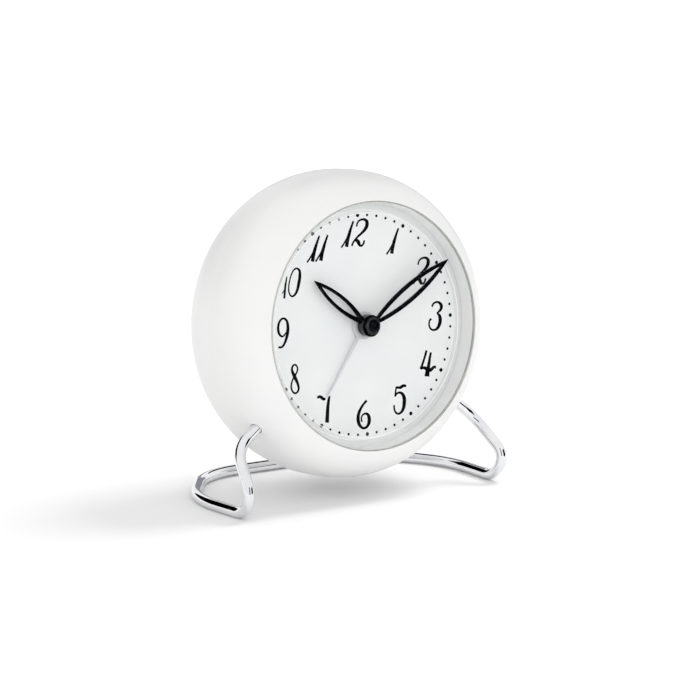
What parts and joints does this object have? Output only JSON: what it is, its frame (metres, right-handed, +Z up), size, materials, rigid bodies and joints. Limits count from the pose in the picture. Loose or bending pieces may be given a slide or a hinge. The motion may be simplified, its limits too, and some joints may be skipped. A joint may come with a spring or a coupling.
{
  "type": "table clock",
  "caption": "Round white table clock with an alarm, on a bent chrome rod stand. Hands, wheels, setting knobs, battery door, switch and snooze button move.",
  "frame": {"origin": "on the table plane, at the centre of the stand's footprint in plan", "axes": "+Z up; front of the clock towards -Y; +X to the right as seen from the front; the dial leans back 5 degrees"},
  "size_m": [0.1142, 0.0682, 0.1157],
  "materials": {
    "case_white": "satin",
    "knob_white": "satin",
    "lens_clear": "polished",
    "ring_clear": "polished",
    "dial_white": "matt",
    "rubber_grey": "matt",
    "chrome": "polished",
    "hand_black": "satin",
    "cap_black": "gloss",
    "hand_grey": "satin",
    "inner_plastic": "matt",
    "steel": "satin",
    "board_green": "satin",
    "led_yellow": "gloss",
    "black_plastic": "matt",
    "copper": "gloss",
    "battery_wrap": "gloss",
    "brass": "satin"
  },
  "bodies": {
    "clock": {"front_case": "case_white", "rear_case": "case_white", "lens": "lens_clear", "lens_seal": "rubber_grey", "light_guide": "ring_clear", "dial": "dial_white", "chassis": "inner_plastic", "chassis_screws": "steel", "light_board": "board_green", "light_leds": "led_yellow", "movement_front": "inner_plastic", "movement_back": "inner_plastic", "movement_nut": "steel", "stator": "steel", "coil_bobbin": "black_plastic", "coil_winding": "copper", "circuit_board": "board_green", "quartz_can": "steel", "driver_chip": "black_plastic", "buzzer": "black_plastic", "battery": "battery_wrap", "contact_plate": "steel", "contact_spring": "steel", "switch_body": "steel", "snooze_switch": "board_green", "case_screws": "steel", "stand": "chrome", "stand_sleeves": "rubber_grey"},
    "minute_group": {"minute_arbor": "brass", "minute_hand": "hand_black", "hand_cap": "cap_black"},
    "hour_group": {"hour_wheel": "brass", "hour_hand": "hand_black"},
    "time_set_group": {"motion_wheel": "brass", "time_knob": "knob_white"},
    "alarm_group": {"alarm_wheel": "brass", "alarm_hand": "hand_grey"},
    "alarm_set_group": {"alarm_pinion": "brass", "alarm_knob": "knob_white"},
    "centre_group": {"centre_wheel": "brass"},
    "third_group": {"third_wheel": "brass"},
    "fourth_group": {"fourth_wheel": "brass"},
    "fifth_group": {"fifth_wheel": "brass"},
    "rotor_group": {"rotor": "brass"},
    "door_group": {"battery_door": "case_white"},
    "switch_group": {"switch_slider": "knob_white"},
    "snooze_group": {"snooze_button": "knob_white"}
  },
  "joints": [
    {"name": "time_set", "type": "hinge", "parent": "clock", "child": "time_set_group", "pos_m": [0.014, -0.00586, 0.06055], "axis": [0, 0.9962, -0.0872], "continuous": true},
    {"name": "minute", "type": "hinge", "parent": "clock", "child": "minute_group", "pos_m": [0, -0.00586, 0.06055], "axis": [0, 0.9962, -0.0872], "continuous": true},
    {"name": "hour", "type": "hinge", "parent": "clock", "child": "hour_group", "pos_m": [0, -0.00586, 0.06055], "axis": [0, 0.9962, -0.0872], "continuous": true},
    {"name": "alarm_set", "type": "hinge", "parent": "clock", "child": "alarm_set_group", "pos_m": [-0.014, -0.00586, 0.06055], "axis": [0, 0.9962, -0.0872], "continuous": true},
    {"name": "alarm", "type": "hinge", "parent": "clock", "child": "alarm_group", "pos_m": [0, -0.00586, 0.06055], "axis": [0, 0.9962, -0.0872], "continuous": true},
    {"name": "rotor_spin", "type": "hinge", "parent": "clock", "child": "rotor_group", "pos_m": [-0.0015, -0.00367, 0.08564], "axis": [0, 0.9962, -0.0872], "continuous": true},
    {"name": "fifth_spin", "type": "hinge", "parent": "clock", "child": "fifth_group", "pos_m": [-0.00812, -0.00377, 0.08447], "axis": [0, 0.9962, -0.0872], "continuous": true},
    {"name": "fourth_spin", "type": "hinge", "parent": "clock", "child": "fourth_group", "pos_m": [-0.01015, -0.00443, 0.07693], "axis": [0, 0.9962, -0.0872], "continuous": true},
    {"name": "third_spin", "type": "hinge", "parent": "clock", "child": "third_group", "pos_m": [0, -0.00475, 0.07325], "axis": [0, 0.9962, -0.0872], "continuous": true},
    {"name": "centre_spin", "type": "hinge", "parent": "clock", "child": "centre_group", "pos_m": [0, -0.00586, 0.06055], "axis": [0, 0.9962, -0.0872], "continuous": true},
    {"name": "battery_door_hinge", "type": "hinge", "parent": "clock", "child": "door_group", "pos_m": [0, 0.01699, 0.03034], "axis": [-1, 0, 0], "range_deg": [0, 80]},
    {"name": "alarm_switch_slide", "type": "slide", "parent": "clock", "child": "switch_group", "axis": [1, 0, 0], "range_m": [0, 0.004]},
    {"name": "snooze_press", "type": "slide", "parent": "clock", "child": "snooze_group", "axis": [0, -0.9962, 0.0872], "range_m": [0, 0.0012], "stiffness_N_per_m": 300, "springref_m": -0.001}
  ],
  "couplings": [
    {"joint": "minute", "follows": "time_set", "ratio": -3},
    {"joint": "hour", "follows": "time_set", "ratio": -0.25},
    {"joint": "alarm", "follows": "alarm_set", "ratio": -0.33333},
    {"joint": "fifth_spin", "follows": "rotor_spin", "ratio": -0.2},
    {"joint": "fourth_spin", "follows": "rotor_spin", "ratio": 0.033333},
    {"joint": "third_spin", "follows": "rotor_spin", "ratio": -0.0041667},
    {"joint": "centre_spin", "follows": "rotor_spin", "ratio": 0.00055556}
  ]
}
